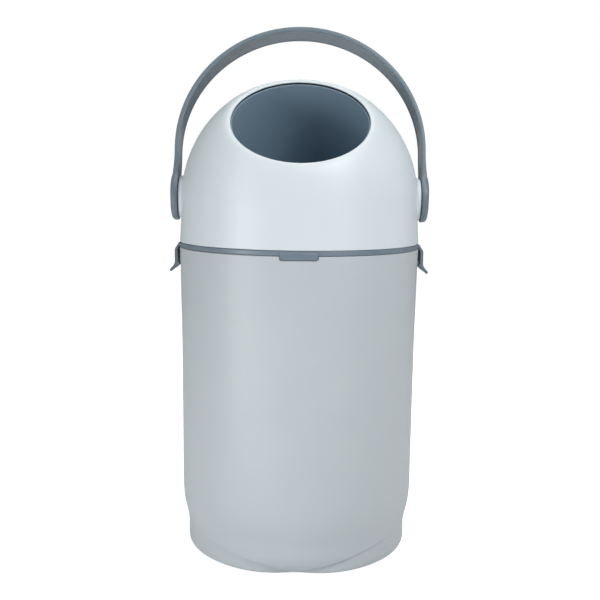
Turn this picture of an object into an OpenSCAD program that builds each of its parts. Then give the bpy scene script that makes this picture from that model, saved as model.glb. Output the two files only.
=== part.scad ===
// Nappy bin with a turning drum: a tall round bin, a domed head that clips
// onto it, and a carrying handle that turns a ball-shaped drum inside the dome.
// Front is -Y, the handle pivots lie on X, the origin is on the floor under
// the middle of the bin. All sizes are millimetres.

/* [Bin] */
// Outer radius of the bin at its rim
rim_r = 135; // [133:0.5:137]
// Outer radius of the bin low down, above the foot
low_r = 131.6; // [130:0.2:133]
// Outer radius of the inset foot
foot_r = 125.4; // [123:0.2:127]
// Height of the top of the bin's rim
rim_z = 345.6; // [345:0.1:345.8]
// Wall of the bin and of the dome
wall = 2.5; // [2:0.1:3]
// Rise of the foot's crease for each millimetre sideways
crease_slope = 0.27; // [0.2:0.01:0.35]
// Height of the ledge that carries the bag ring
ledge_z = 332; // [328:1:334]

/* [Dome] */
// Outer radius of the dome
dome_r = 133.4; // [133:0.1:134.8]
// Height of the dome's centre, which is also the handle's axis
pivot_z = 400; // [398:1:402]
// Height of the dome's lower edge
dome_z = 351.6; // [351.5:0.1:352.5]
// Lean of the opening and of the cup, forward from upright
tilt = 36.8; // [34:0.2:40]
// Radius of the opening in the dome
open_r = 74.6; // [70:0.2:76]
// Distance of the opening's flat rim from the dome's centre
open_d = 106.4; // [106:0.1:108]
// Diameter of the round bosses behind the handle ends
boss_d = 46; // [40:1:48]

/* [Drum] */
// Outer radius of the turning drum
drum_r = 127.5; // [126:0.1:127.6]
// Wall of the drum
drum_wall = 2.3; // [2:0.1:3]
// Distance between the drum's two flat sides
drum_flats = 248; // [246:0.5:248]
// Inner radius of the cup at its rim
cup_r = 72.2; // [66:0.2:72.2]
// Inner radius of the cup near its bottom
cup_low_r = 68.4; // [60:0.2:68.4]
// Depth of the cup from its rim to the edge of its dished bottom
cup_depth = 126; // [110:1:130]
// Place of the joint between the drum's two shells
drum_split = -12; // [-14:1:-8]

/* [Handle] */
// Outer radius of the handle's arch
arch_r = 141.4; // [141:0.1:142]
// Height of the arch's centre over the pivot
arch_h = 55.7; // [50:0.1:60]
// Thickness of the handle strap
strap_t = 5.4; // [5:0.1:6]
// Width of the handle strap
strap_w = 33; // [24:1:34]
// Lean of the handle at rest, backward from upright
lean = 14.7; // [10:0.1:18]
// Radius of the round handle ends
pad_r = 25.5; // [23:0.5:26]
// Radius of the trunnion shafts
shaft_r = 8; // [7.9:0.1:8.1]

/* [Clips] */
// Width of each side clip
clip_w = 34; // [30:1:36]
// Radius of the clip hinge pins
pin_r = 1; // [0.9:0.05:1.1]

/* [Ring] */
// Width of the front tab
tab_w = 39; // [34:1:44]
// Depth of the front tab below the ring
tab_h = 5.1; // [4:0.1:5.3]

/* [Hidden] */

$fn = 96;
white = "#e4e8ea";
grey = "#71808c";
slate = "#5d6c79";
rubber = "#2c2f32";
nylon = "#dcdcd2";
steel = "#b9bdc1";

ring_lo = 346;        // underside of the ring's flange
ring_hi = 351.3;      // top of the ring's flange
ring_r = 134.6;       // outer radius of the ring
spigot_z = 338;       // lower end of the ring's spigot
screw_pr = 126.9;     // radius of the circle of ring screws
pin_x = 133.3;        // clip hinge pin, from the middle
pin_z = 348.6;
pad_in = 136.4;       // inner face of the handle ends
flat_x = drum_flats / 2;
key = 11;             // square drive of the trunnions
mouth_d = 102.4;      // the drum's mouth plane, from its centre

// point on a circle about (cx, cz)
function arc(cx, cz, r, a0, a1, n) =
  [for (i = [0:n]) let (a = a0 + (a1 - a0) * i / n) [cx + r * cos(a), cz + r * sin(a)]];

// carry a shape into the frame of the cup: +Z runs out along the cup's axis
module at_cup() { translate([0, 0, pivot_z]) rotate([tilt, 0, 0]) children(); }
// carry a shape into the frame of the leaning handle
module at_handle() { translate([0, 0, pivot_z]) rotate([-lean, 0, 0]) children(); }
// a cylinder along X from x0 to x1
module xcyl(r, x0, x1) { translate([x0, 0, 0]) rotate([0, 90, 0]) cylinder(r = r, h = x1 - x0); }
// a solid of revolution about X, its outline given as [radius, x]
module xrev(pts) { rotate([0, 90, 0]) rotate_extrude() polygon(pts); }

// ---------------------------------------------------------------- bin
// outer outline of the bin above the crease of its foot, as [radius, height]
bin_outer = [[0, 3], [114, 3], [120.5, 4.6], [124.2, 8.2], [125.8, 13], [126.3, 20],
  [126.7, 30], [127.4, 40], [128.9, 49], [130.5, 58], [low_r - 0.3, 67],
  [low_r, 80], [low_r + 0.3, 110], [low_r + 0.6, 160], [low_r + 1, 200],
  [low_r + 1.5, 250], [low_r + 2.2, 290], [low_r + 2.8, 325],
  [rim_r, 340], [rim_r, rim_z - 0.8], [rim_r - 0.8, rim_z], [0, rim_z]];
// outline of the inset foot
foot_outer = [[0, 2], [foot_r - 9, 2], [foot_r - 4, 3.6], [foot_r - 1.4, 7.5],
  [foot_r - 0.5, 13], [foot_r, 26], [foot_r + 0.2, 60], [0, 60]];
// the space inside the bin
bin_inner = [[0, 11.5], [117, 11.5], [121.4, 14], [122.6, 19], [123, 36],
  [125.6, 47], [128, 60], [low_r - 2.6, 80], [low_r - 2.1, 160],
  [low_r - 1.5, 200], [low_r - 1, 250], [low_r - 0.3, 290],
  [low_r, 320], [128, 326], [128, ledge_z], [131.8, ledge_z],
  [131.8, rim_z + 1], [0, rim_z + 1]];

module crease_cut() {
  // two planes that rise to each side from the middle of the front and back
  a = atan(crease_slope);
  for (s = [-1, 1]) translate([0, 0, 3]) rotate([0, -s * a, 0])
    translate([s > 0 ? 0 : -200, -150, -80]) cube([200, 300, 80]);
}

module bin_body() color(white) difference() {
  union() {
    difference() {
      rotate_extrude() polygon(bin_outer);
      crease_cut();
    }
    rotate_extrude() polygon(foot_outer);
    // catches for the side clips
    for (s = [0, 1]) mirror([s, 0, 0]) translate([132.9, -12, 327.2]) cube([3.5, 24, 4.3]);
  }
  rotate_extrude() polygon(bin_inner);
  // hollow under the floor, inside the foot
  difference() {
    translate([0, 0, 1]) cylinder(r = 113, h = 8);
    for (a = [45:90:315]) rotate(a) translate([104, 0, 0]) cylinder(r = 11.5, h = 10);
  }
  // sockets of the rubber feet
  for (a = [45:90:315]) rotate(a) translate([104, 0, 1]) cylinder(r = 9.05, h = 3.5);
  // recess in the rim for the ring's front tab
  intersection() {
    difference() {
      translate([0, 0, rim_z - 5.1]) cylinder(r = 140, h = 10);
      translate([0, 0, rim_z - 6]) cylinder(r = 133, h = 12);
    }
    translate([-tab_w / 2 - 0.5, -150, rim_z - 6]) cube([tab_w + 1, 60, 12]);
  }
}

module rubber_feet() color(rubber)
  for (a = [45:90:315]) rotate(a) translate([104, 0, 0]) {
    cylinder(r = 9, h = 4.4);
  }

// the ring that the mouth of the bag is folded over
module bag_ring() color(grey)
  rotate_extrude() polygon([[118.6, 306], [120.6, 306], [121, 330.6], [122.6, ledge_z + 0.2],
    [131.3, ledge_z + 0.2], [131.3, ledge_z + 2.6], [118, ledge_z + 2.6], [118, 331]]);

// ---------------------------------------------------------------- ring
module base_ring() color(grey) difference() {
  union() {
    rotate_extrude() polygon([[120.5, ring_lo], [130, ring_lo], [130.2, spigot_z],
      [131.1, spigot_z], [131.4, spigot_z + 1], [131.4, ring_lo], [ring_r - 0.4, ring_lo],
      [ring_r, ring_lo + 0.4], [ring_r, ring_hi - 0.4], [ring_r - 0.4, ring_hi], [120.5, ring_hi]]);
    // front tab
    intersection() {
      difference() {
        translate([0, 0, ring_lo - tab_h]) cylinder(r = rim_r, h = tab_h + 4.4);
        translate([0, 0, ring_lo - tab_h - 1]) cylinder(r = 133.4, h = tab_h + 7);
      }
      rotate([90, 0, 0]) translate([0, 0, 120]) linear_extrude(20)
        polygon(concat(
          arc(tab_w / 2 - 2.2, ring_lo - tab_h + 2.2, 2.2, -90, 0, 8),
          [[tab_w / 2, ring_lo + 4.2], [-tab_w / 2, ring_lo + 4.2]],
          arc(-tab_w / 2 + 2.2, ring_lo - tab_h + 2.2, 2.2, 180, 270, 8)));
    }
    // ears that hold the ends of the clip pins
    for (s = [0, 1]) mirror([s, 0, 0]) for (t = [-1, 1])
      translate([pin_x, t > 0 ? clip_w / 2 + 0.3 : -clip_w / 2 - 4.3, pin_z])
        rotate([-90, 0, 0]) cylinder(r = 2.1, h = 4);
  }
  // places of the two clips
  for (s = [0, 1]) mirror([s, 0, 0])
    translate([130.5, -clip_w / 2 - 0.3, ring_lo - 1]) cube([10, clip_w + 0.6, 8]);
  // holes for the clip pins
  for (s = [0, 1]) mirror([s, 0, 0]) translate([pin_x, -25, pin_z])
    rotate([-90, 0, 0]) cylinder(r = pin_r + 0.02, h = 50);
  // groove for the gasket
  translate([0, 0, ring_lo - 1]) difference() {
    cylinder(r = 134.0, h = 2.6);
    translate([0, 0, -1]) cylinder(r = 132.1, h = 5);
    translate([-tab_w / 2 - 1, -150, -1]) cube([tab_w + 2, 60, 6]);
    for (s = [0, 1]) mirror([s, 0, 0]) translate([120, -clip_w / 2 - 5, -1]) cube([20, clip_w + 10, 6]);
  }
  // screw holes, with seats for the heads below
  for (a = [30:60:330]) rotate(a) translate([screw_pr, 0, 0]) {
    translate([0, 0, ring_lo - 1]) cylinder(r = 1.7, h = 8);
    translate([0, 0, ring_lo - 1]) cylinder(r = 2.95, h = 3.2);
  }
}

// compressible gasket under the ring, in the arcs between tab and clips
module rim_gasket() color(rubber) translate([0, 0, ring_lo - 0.1]) difference() {
  cylinder(r = 133.95, h = 1.65);
  translate([0, 0, -1]) cylinder(r = 132.15, h = 5);
  translate([-tab_w / 2 - 1.1, -150, -1]) cube([tab_w + 2.2, 60, 6]);
  for (s = [0, 1]) mirror([s, 0, 0]) translate([120, -clip_w / 2 - 5.1, -1]) cube([20, clip_w + 10.2, 6]);
}

// soft ring on the base ring that wipes the drum
module drum_seal() color(rubber) translate([0, 0, ring_hi + 0.02]) rotate_extrude()
  polygon([[118.8, 0.9], [120.8, 0], [123.3, 0], [123.3, 1.3], [121.6, 1.6], [120.1, 2.6], [119.3, 2.4]]);

// ---------------------------------------------------------------- dome
module dome_solid(r, skirt_r, z0) {
  // half ball on a slightly flared skirt
  rotate_extrude() polygon(concat([[0, z0], [skirt_r, z0], [r, pivot_z], [0, pivot_z]]));
  translate([0, 0, pivot_z]) intersection() {
    sphere(r = r, $fn = 128);
    translate([-200, -200, -1]) cube([400, 400, 300]);
  }
}

stop_r0 = 19.5;
stop_r1 = 24;
// a sector of a ring about X, between two angles measured from +Z towards -Y
module xsector(r0, r1, a0, a1, x0, x1) {
  translate([x0, 0, 0]) rotate([90, 0, 90]) linear_extrude(x1 - x0)
    polygon(concat(
      [for (i = [0:6]) let (a = a0 + (a1 - a0) * i / 6) [-r1 * sin(a), r1 * cos(a)]],
      [for (i = [6:-1:0]) let (a = a0 + (a1 - a0) * i / 6) [-r0 * sin(a), r0 * cos(a)]]));
}

module dome_shell() color(white) difference() {
  union() {
    difference() {
      union() {
        dome_solid(dome_r, rim_r, dome_z);
        // round bosses behind the handle ends
        translate([0, 0, pivot_z]) for (s = [0, 1]) mirror([s, 0, 0]) xcyl(boss_d / 2, 120, 135.8);
      }
      dome_solid(dome_r - wall, rim_r - wall - 0.1, dome_z - 1);
      at_cup() translate([0, 0, open_d]) cylinder(r = 100, h = 60);
    }
    // rolled lip of the opening
    at_cup() rotate_extrude() polygon([[80, open_d], [open_r + 1.6, open_d], [open_r + 0.5, open_d - 0.4],
      [open_r, open_d - 1.3], [open_r + 0.15, open_d - 1.7], [open_r + 0.9, open_d - 2],
      [open_r + 2, open_d - 2.1], [79.8, open_d - 1.9]]);
    // inner bosses for the pivot bushes, with a stop for the drum
    translate([0, 0, pivot_z]) for (s = [0, 1]) mirror([s, 0, 0]) {
      xcyl(15.5, 128.2, 133.2);
      xsector(stop_r0, stop_r1, 195, 215, 125.2, 132);
    }
    // bosses for the ring screws
    for (a = [30:60:330]) rotate(a) {
      translate([screw_pr, 0, dome_z - 0.2]) cylinder(r = 3.2, h = 12.4);
      translate([screw_pr + 1.8, -1.2, dome_z]) cube([4.6, 2.4, 12]);
    }
  }
  translate([0, 0, pivot_z]) for (s = [0, 1]) mirror([s, 0, 0]) xcyl(10.55, 124, 140);
  for (a = [30:60:330]) rotate(a) translate([screw_pr, 0, dome_z - 1]) cylinder(r = 1.5, h = 12);
}

module base_ring_screws() color(steel)
  for (a = [30:60:330]) rotate(a) translate([screw_pr, 0, 0]) {
    difference() {
      translate([0, 0, ring_lo + 0.5]) cylinder(r = 2.7, h = 1.68);
      // cross recess for the screwdriver
      for (b = [0, 90]) rotate(b) translate([-1.6, -0.4, ring_lo]) cube([3.2, 0.8, 1.4]);
    }
    translate([0, 0, ring_lo + 2]) cylinder(r = 1.45, h = 13.5);
  }

// ---------------------------------------------------------------- drum
module ball(r, flat) intersection() {
  sphere(r = r, $fn = 128);
  cube([2 * flat, 3 * r, 3 * r], center = true);
}
// part of space above or below a plane across the cup's axis
module above(z) { translate([-200, -200, z]) cube([400, 400, 400]); }
module below(z) { translate([-200, -200, z - 400]) cube([400, 400, 400]); }

module drum_front_shell() color(slate) at_cup() difference() {
  union() {
    difference() {
      intersection() { ball(drum_r, flat_x); above(drum_split); below(mouth_d); }
      ball(drum_r - drum_wall, flat_x - 2.5);
    }
    // sockets for the square ends of the trunnions
    for (s = [0, 1]) mirror([s, 0, 0]) translate([110.5, -8.5, -8.5]) cube([12, 17, 17]);
    // lug that meets the dome's stop when the drum is turned over
    for (s = [0, 1]) mirror([s, 0, 0])
      xsector(stop_r0, stop_r1, 39 - tilt, 51 - tilt, flat_x - 1, 127.2);
  }
  for (s = [0, 1]) mirror([s, 0, 0]) translate([111.8, -key / 2 - 0.05, -key / 2 - 0.05])
    cube([20, key + 0.1, key + 0.1]);
  // room for the cup inside the mouth
  translate([0, 0, mouth_d - 8]) cylinder(r = 74.4, h = 10);
}

module drum_back_shell() color(slate) at_cup() union() {
  // lug that stands just behind the dome's stop at rest
  for (s = [0, 1]) mirror([s, 0, 0])
    xsector(stop_r0, stop_r1, 216 - tilt, 228 - tilt, flat_x - 1, 127.2);
  difference() {
    intersection() { ball(drum_r, flat_x); below(drum_split - 0.15); }
    ball(drum_r - drum_wall, flat_x - 2.5);
  }
  // lap that fits inside the front shell
  intersection() {
    difference() {
      translate([0, 0, drum_split - 4]) cylinder(r = 124.4, h = 8);
      translate([0, 0, drum_split - 5]) cylinder(r = 122.4, h = 10);
    }
    difference() {
      cube([2 * (flat_x - 2.65), 400, 400], center = true);
      for (s = [0, 1]) mirror([s, 0, 0]) translate([110, -9, -9]) cube([20, 18, 18]);
    }
  }
  difference() {
    // side walls of the lap, along the flats
    for (s = [0, 1]) mirror([s, 0, 0]) translate([flat_x - 4.5, -26, drum_split - 4]) cube([1.85, 52, 8]);
    for (s = [0, 1]) mirror([s, 0, 0]) translate([110, -9, -9]) cube([20, 18, 18]);
    difference() { cube(400, center = true); sphere(r = 124.4, $fn = 128); }
  }
}

// deep cup with a dished bottom, its rim seated on the drum's mouth
module drum_cup() color(slate) at_cup() rotate_extrude() polygon(concat(
  // outside, from the rim down
  [[75.6, mouth_d + 0.05], [74.3, mouth_d + 0.05], [74.2, mouth_d - 1], [cup_low_r + 2.3, mouth_d - cup_depth]],
  arc(cup_low_r - 11.7, mouth_d - cup_depth - 2, 14, 0, -80, 10),
  [[0, mouth_d - cup_depth - 19]],
  // inside, from the middle of the bottom up
  [[0, mouth_d - cup_depth - 16.7]],
  arc(cup_low_r - 11.8, mouth_d - cup_depth - 2, 11.8, -80, 0, 10),
  [[cup_r, mouth_d - 1], [cup_r + 0.3, mouth_d + 0.5], [cup_r + 1, mouth_d + 1],
   [cup_r + 1.8, mouth_d + 1], [75.6, mouth_d + 0.3]]));

// ---------------------------------------------------------------- pivots
module trunnion() at_cup() difference() {
  union() {
    xcyl(shaft_r, flat_x + 0.1, 136.1);
    translate([112, -key / 2, -key / 2]) cube([139.6 - 112, key, key]);
  }
  xcyl(1.7, 122, 145);
}
module trunnion_right() color(nylon) trunnion();
module trunnion_left() color(nylon) mirror([1, 0, 0]) trunnion();

// flanged sleeve pressed into the dome from inside
module pivot_bush() translate([0, 0, pivot_z]) difference() {
  union() { xcyl(10.5, 128, 135.9); xcyl(14, 126.4, 128.15); }
  xcyl(shaft_r + 0.05, 120, 140);
}
module pivot_bush_right() color(nylon) pivot_bush();
module pivot_bush_left() color(nylon) mirror([1, 0, 0]) pivot_bush();

module thrust_washer() translate([0, 0, pivot_z]) difference() {
  xcyl(14, flat_x + 0.05, flat_x + 2);
  xcyl(shaft_r + 0.3, 120, 140);
}
module thrust_washer_right() color(nylon) thrust_washer();
module thrust_washer_left() color(nylon) mirror([1, 0, 0]) thrust_washer();

// ---------------------------------------------------------------- handle
// half outline of the strap, [x, height over the pivot], outside then inside
strap_out = concat([[143.8, 0], [143.8, 12], [143.4, 20], [142.6, 28], [141.8, 36], [arch_r, 44]],
  arc(0, arch_h, arch_r, 0, 90, 40));
strap_in = concat(arc(0, arch_h, arch_r - strap_t, 90, 0, 40),
  [[arch_r - strap_t, 40], [arch_r - strap_t + 0.3, 32], [pad_in, 25], [pad_in, 0]]);
half_strap = concat(strap_out, strap_in);

pad_side = [[0, pad_in], [pad_r - 0.7, pad_in], [pad_r, pad_in + 0.7], [pad_r, pad_in + 5],
  [pad_r - 0.9, pad_in + 6.4], [pad_r - 3.5, pad_in + 7.4], [16, 144.6], [15.2, 144.7], [0, 144.7]];

module handle() color(grey) at_handle() difference() {
  union() {
    for (s = [0, 1]) mirror([s, 0, 0]) {
      rotate([90, 0, 0]) translate([0, 0, -strap_w / 2]) linear_extrude(strap_w) polygon(half_strap);
      xrev(pad_side);
    }
  }
  for (s = [0, 1]) mirror([s, 0, 0]) {
    // square socket of the trunnion, lined up with the drum
    rotate([lean + tilt, 0, 0]) translate([130, -key / 2 - 0.05, -key / 2 - 0.05])
      cube([139.8 - 130, key + 0.1, key + 0.1]);
    xcyl(2.2, 135, 145);
    xcyl(4.2, 140.7, 145);
    xcyl(15.2, 142.8, 150);
  }
}

module pivot_cap() translate([0, 0, pivot_z])
  xrev([[0, 142.9], [14.9, 142.9], [14.9, 144.4], [13.5, 144.8], [8, 145.15], [0, 145.25]]);
module pivot_cap_right() color(grey) pivot_cap();
module pivot_cap_left() color(grey) mirror([1, 0, 0]) pivot_cap();

module trunnion_screws() color(steel) translate([0, 0, pivot_z])
  for (s = [0, 1]) mirror([s, 0, 0]) {
    xcyl(1.65, 123.5, 141);
    difference() {
      xcyl(3.8, 140.75, 142.6);
      // cross recess for the screwdriver
      for (b = [0, 90]) rotate([b, 0, 0]) translate([141.7, -2.2, -0.45]) cube([2, 4.4, 0.9]);
    }
  }

// ---------------------------------------------------------------- clips
// side outline of a clip, [x, z]: hinge arm, plate, and the lip for a thumb
clip_side = [[134.9, 350.3], [135.5, 350], [139.4, 343.7], [139.9, 342.2], [139.9, 328.6],
  [140.6, 325.9], [142.6, 322.9], [144.9, 320.6], [145.6, 319.3], [145.4, 317.8], [144.3, 317.2],
  [143.2, 317.6], [139.6, 320.4], [136.8, 322.8], [134.9, 323.6], [134.9, 326.7],
  [137.1, 326.9], [137.1, 341.6], [136.6, 343.2], [134.9, 346.3], [133.6, 346.9]];
// side web, [x, z]
web_side = [[137.6, 341.8], [136.9, 342.3], [136.5, 338], [136.5, 328.6], [134.7, 326.3], [134.7, 323.9], [136.6, 322.6], [139.5, 320.2], [139.6, 327]];

module clip() color(grey) difference() {
  union() {
    rotate([90, 0, 0]) translate([0, 0, -clip_w / 2]) linear_extrude(clip_w) polygon(clip_side);
    translate([pin_x, -clip_w / 2, pin_z]) rotate([-90, 0, 0]) cylinder(r = 2.3, h = clip_w);
    for (t = [-1, 1]) translate([0, t > 0 ? clip_w / 2 : -clip_w / 2 + 2.2, 0])
      rotate([90, 0, 0]) linear_extrude(2.2) polygon(web_side);
  }
  translate([pin_x, -30, pin_z]) rotate([-90, 0, 0]) cylinder(r = pin_r + 0.05, h = 60);
  // room for the bin's catch between the side webs
  translate([130, -13.2, 315]) cube([6.75, 26.4, 26]);
}
module clip_right() clip();
module clip_left() mirror([1, 0, 0]) clip();

module clip_pin() translate([pin_x, -clip_w / 2 - 4, pin_z]) rotate([-90, 0, 0]) cylinder(r = pin_r, h = clip_w + 8);
module clip_pin_right() color(steel) clip_pin();
module clip_pin_left() color(steel) mirror([1, 0, 0]) clip_pin();

bin_body();
rubber_feet();
bag_ring();
base_ring();
rim_gasket();
drum_seal();
dome_shell();
base_ring_screws();
drum_front_shell();
drum_back_shell();
drum_cup();
handle();
trunnion_left();
trunnion_right();
pivot_bush_left();
pivot_bush_right();
thrust_washer_left();
thrust_washer_right();
trunnion_screws();
pivot_cap_left();
pivot_cap_right();
clip_left();
clip_right();
clip_pin_left();
clip_pin_right();
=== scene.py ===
import math
import bpy, bmesh
import numpy as np
from mathutils import Vector, Matrix


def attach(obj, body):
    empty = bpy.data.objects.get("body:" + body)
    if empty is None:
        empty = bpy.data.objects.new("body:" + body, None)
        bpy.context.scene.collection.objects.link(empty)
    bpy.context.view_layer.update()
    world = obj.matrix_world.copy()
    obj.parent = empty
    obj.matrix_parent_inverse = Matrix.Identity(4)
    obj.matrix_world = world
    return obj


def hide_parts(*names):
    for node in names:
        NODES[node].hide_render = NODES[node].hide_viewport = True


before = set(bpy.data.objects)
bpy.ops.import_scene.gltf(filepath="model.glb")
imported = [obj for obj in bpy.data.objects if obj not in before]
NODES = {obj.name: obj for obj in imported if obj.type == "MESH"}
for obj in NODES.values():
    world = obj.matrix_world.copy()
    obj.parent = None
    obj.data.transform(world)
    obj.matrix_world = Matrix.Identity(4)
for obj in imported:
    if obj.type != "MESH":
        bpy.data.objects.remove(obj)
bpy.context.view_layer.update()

# Everything below is written in millimetres in the part's own frame (front is -Y,
# floor at 0) and scaled once, when a mesh is made.
MM = 0.001
PIVOT = 400.0
TILT = math.radians(36.8)
LEAN = math.radians(14.7)
TAU = 2 * math.pi


# ------------------------------------------------------------------ mesh tools
def grid_faces(rows, cols, wrap_rows, wrap_cols):
    r = np.arange(rows if wrap_rows else rows - 1)
    c = np.arange(cols if wrap_cols else cols - 1)
    R, C = np.meshgrid(r, c, indexing="ij")
    R2, C2 = (R + 1) % rows, (C + 1) % cols
    return np.stack([R * cols + C, R * cols + C2, R2 * cols + C2, R2 * cols + C], -1).reshape(-1, 4)


def finish_mesh(ob, sharp=32.0):
    me = ob.data
    bm = bmesh.new()
    bm.from_mesh(me)
    bmesh.ops.remove_doubles(bm, verts=bm.verts, dist=1.5e-6)
    bmesh.ops.dissolve_degenerate(bm, dist=1e-7, edges=bm.edges)
    loose = [v for v in bm.verts if not v.link_faces]
    if loose:
        bmesh.ops.delete(bm, geom=loose, context="VERTS")
    bmesh.ops.recalc_face_normals(bm, faces=bm.faces)
    bm.to_mesh(me)
    bm.free()
    me.shade_smooth()
    me.set_sharp_from_angle(angle=math.radians(sharp))
    return ob


def make(name, verts, faces, sharp=32.0):
    me = bpy.data.meshes.new(name)
    me.from_pydata((np.asarray(verts, float).reshape(-1, 3) * MM).tolist(), [], np.asarray(faces).tolist())
    ob = bpy.data.objects.new(name, me)
    bpy.context.scene.collection.objects.link(ob)
    return finish_mesh(ob, sharp)


def closed_grid(name, P, sharp=32.0, wrap_rows=True, wrap_cols=True):
    P = np.asarray(P, float)
    return make(name, P, grid_faces(P.shape[0], P.shape[1], wrap_rows, wrap_cols), sharp)


def join(name, parts):
    """One object from several closed shells that only touch or sit apart."""
    verts, faces, off = [], [], 0
    for o in parts:
        verts += [tuple(v.co / MM) for v in o.data.vertices]
        faces += [[i + off for i in p.vertices] for p in o.data.polygons]
        off = len(verts)
        me = o.data
        bpy.data.objects.remove(o)
        bpy.data.meshes.remove(me)
    me = bpy.data.meshes.new(name)
    me.from_pydata([tuple(c * MM for c in v) for v in verts], [], faces)
    ob = bpy.data.objects.new(name, me)
    bpy.context.scene.collection.objects.link(ob)
    return finish_mesh(ob)


def cut(a, b, operation, sharp=32.0, solvers=("MANIFOLD", "EXACT")):
    """Boolean of two closed meshes, applied; b is used up."""
    for solver in solvers:
        m = a.modifiers.new("b", "BOOLEAN")
        m.operation, m.object, m.solver = operation, b, solver
        bpy.context.view_layer.update()
        dg = bpy.context.evaluated_depsgraph_get()
        me = bpy.data.meshes.new_from_object(a.evaluated_get(dg), depsgraph=dg)
        a.modifiers.clear()
        changed = len(me.polygons) > 0 and len(me.polygons) != len(a.data.polygons)
        if changed:
            break
        bpy.data.meshes.remove(me)
        me = None
    if me is None:
        print("boolean had no effect:", a.name, b.name, operation)
    else:
        old = a.data
        a.data = me
        bpy.data.meshes.remove(old)
        me.name = a.name
    old = b.data
    bpy.data.objects.remove(b)
    bpy.data.meshes.remove(old)
    a["sharp"] = sharp
    return a


def union(a, b, sharp=32.0):
    return cut(a, b, "UNION", sharp)


def take(a, b, sharp=32.0, solvers=("MANIFOLD", "EXACT")):
    return cut(a, b, "DIFFERENCE", sharp, solvers)


def fillet(pts, step=15.0):
    """Closed outline from corners (x, y) or (x, y, radius), each corner rounded by an arc."""
    out, n = [], len(pts)
    P = [np.array(p[:2], float) for p in pts]
    for i, p in enumerate(pts):
        r = p[2] if len(p) > 2 else 0
        u, v = P[i - 1] - P[i], P[(i + 1) % n] - P[i]
        lu, lv = np.linalg.norm(u), np.linalg.norm(v)
        u, v = u / lu, v / lv
        ang = math.acos(max(-1, min(1, float(u @ v))))
        if r <= 0 or ang > math.pi - 0.02:
            out.append(tuple(P[i]))
            continue
        t = min(r / math.tan(ang / 2), 0.48 * lu, 0.48 * lv)
        r = t * math.tan(ang / 2)
        c = P[i] + (u + v) / np.linalg.norm(u + v) * (r / math.sin(ang / 2))
        a0 = math.atan2(*(P[i] + u * t - c)[::-1])
        a1 = math.atan2(*(P[i] + v * t - c)[::-1])
        d = (a1 - a0 + math.pi) % TAU - math.pi
        k = max(2, int(math.ceil(abs(d) / math.radians(step))))
        out += [tuple(c + r * np.array([math.cos(a0 + d * j / k), math.sin(a0 + d * j / k)])) for j in range(k + 1)]
    return out


def hold(pts, gap=0.35):
    """Adds a point a short way in from both ends of each long side, so flats stay flat when shaded smooth."""
    out, n = [], len(pts)
    for i in range(n):
        a, b = np.array(pts[i]), np.array(pts[(i + 1) % n])
        L = np.linalg.norm(b - a)
        out.append(tuple(a))
        if L > 4 * gap:
            out += [tuple(a + (b - a) * gap / L), tuple(b - (b - a) * gap / L)]
    return out


def turned(outline, seg=256):
    """Points of a closed outline (radius, height) turned about +Z."""
    a = np.linspace(0, TAU, seg, endpoint=False)
    q = np.array(outline, float)
    P = np.empty((len(q), seg, 3))
    P[..., 0] = q[:, :1] * np.sin(a)
    P[..., 1] = -q[:, :1] * np.cos(a)
    P[..., 2] = q[:, 1:2]
    return P


def to_cup(P):
    P = np.asarray(P, float)
    c, s = math.cos(TILT), math.sin(TILT)
    return np.stack([P[..., 0], P[..., 1] * c - P[..., 2] * s, P[..., 1] * s + P[..., 2] * c + PIVOT], -1)


def to_handle(P):
    P = np.asarray(P, float)
    c, s = math.cos(LEAN), math.sin(LEAN)
    return np.stack([P[..., 0], P[..., 1] * c + P[..., 2] * s, -P[..., 1] * s + P[..., 2] * c + PIVOT], -1)


def to_side(P, s, z=PIVOT):
    """Turns +Z into +X (s = 1) or -X (s = -1), about the pivots' axis."""
    P = np.asarray(P, float)
    return np.stack([s * P[..., 2], P[..., 1], P[..., 0] + z], -1)


def to_y(P, x, z):
    """Turns +Z into +Y through (x, z)."""
    P = np.asarray(P, float)
    return np.stack([P[..., 0] + x, P[..., 2], P[..., 1] + z], -1)


def spin(P, deg):
    a = math.radians(deg)
    c, s = math.cos(a), math.sin(a)
    return np.stack([P[..., 0] * c - P[..., 1] * s, P[..., 0] * s + P[..., 1] * c, P[..., 2]], -1)


def lathe(name, outline, seg=256, place=None, sharp=32.0, keep=True):
    q = hold(outline) if keep else outline
    P = turned(q, seg)
    return closed_grid(name, place(P) if place else P, sharp)


def prism(name, outline, lo, hi, edge=0.4, place=None, sharp=32.0):
    """A closed outline (x, y) carried from lo to hi along +Z, its end edges rounded."""
    me = bpy.data.meshes.new(name)
    bm = bmesh.new()
    bot = [bm.verts.new((x * MM, y * MM, lo * MM)) for x, y in outline]
    top = [bm.verts.new((x * MM, y * MM, hi * MM)) for x, y in outline]
    n = len(outline)
    caps = [bm.faces.new(bot[::-1]), bm.faces.new(top)]
    for i in range(n):
        bm.faces.new((bot[i], bot[(i + 1) % n], top[(i + 1) % n], top[i]))
    if edge > 0:
        es = list({e for f in caps for e in f.edges})
        bmesh.ops.bevel(bm, geom=es, offset=edge * MM, segments=3, profile=0.5, affect="EDGES", clamp_overlap=True)
    bmesh.ops.triangulate(bm, faces=[f for f in bm.faces if len(f.verts) > 4])
    bm.to_mesh(me)
    bm.free()
    if place:
        co = np.array([v.co for v in me.vertices], float) / MM
        co = place(co) * MM
        me.vertices.foreach_set("co", co.astype(np.float32).ravel())
    ob = bpy.data.objects.new(name, me)
    bpy.context.scene.collection.objects.link(ob)
    return finish_mesh(ob, sharp)


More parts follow.
